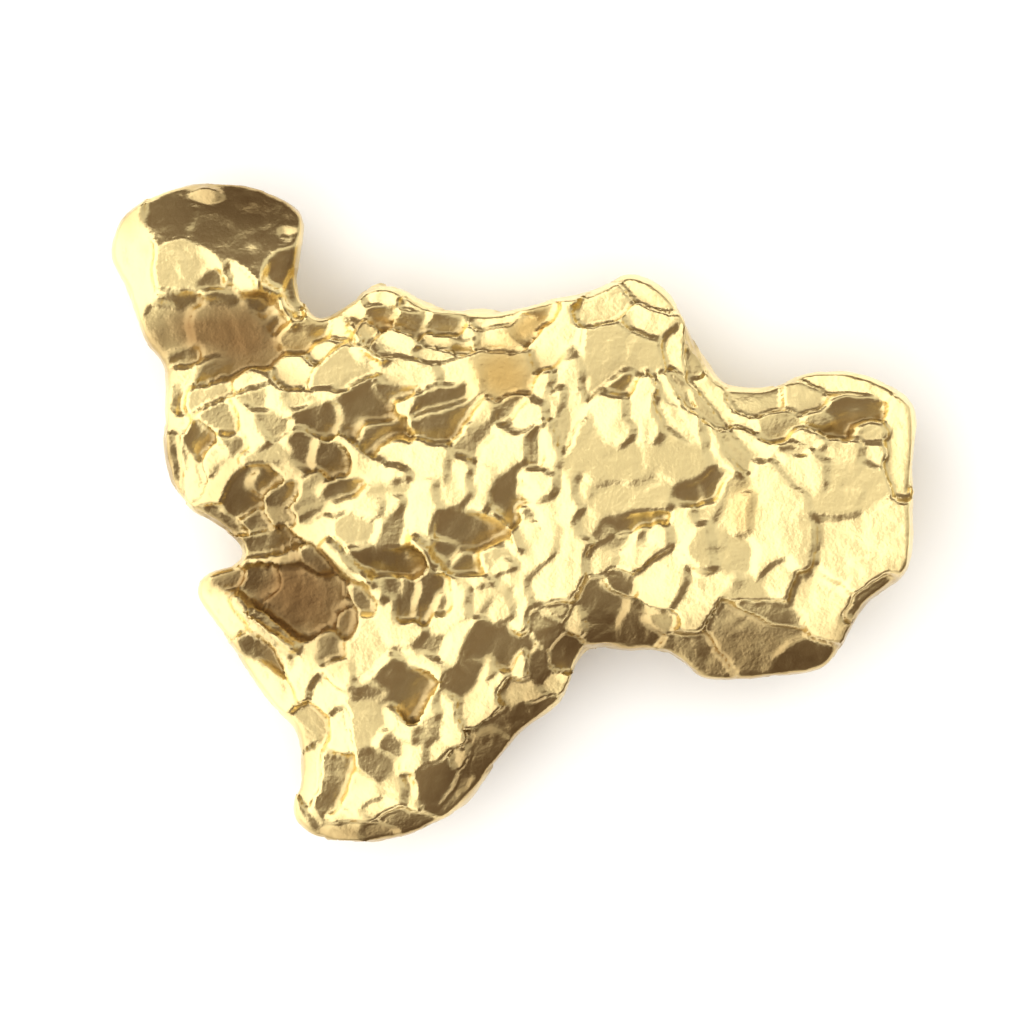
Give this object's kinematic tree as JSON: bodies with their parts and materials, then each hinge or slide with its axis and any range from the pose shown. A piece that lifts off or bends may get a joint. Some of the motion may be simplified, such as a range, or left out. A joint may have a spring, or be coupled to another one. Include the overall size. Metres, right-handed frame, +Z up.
{
  "type": "gold nugget",
  "caption": "Knobbly placer gold nugget with a rounded head, a side lobe and a pitted crown, lying on its stream-worn flat side.",
  "frame": {"origin": "on the resting surface, under the middle of the nugget's bounding box", "axes": "+X along the nugget's longest way, towards the broad side lobe; +Y towards the rounded head; +Z up, out of the pitted crown"},
  "size_m": [0.02, 0.0165, 0.0054],
  "materials": {
    "native_gold": "bright worn native gold, satin on the high lumps, with brown iron staining in the pits"
  },
  "bodies": {
    "root": {"nugget": "native_gold"}
  },
  "joints": []
}
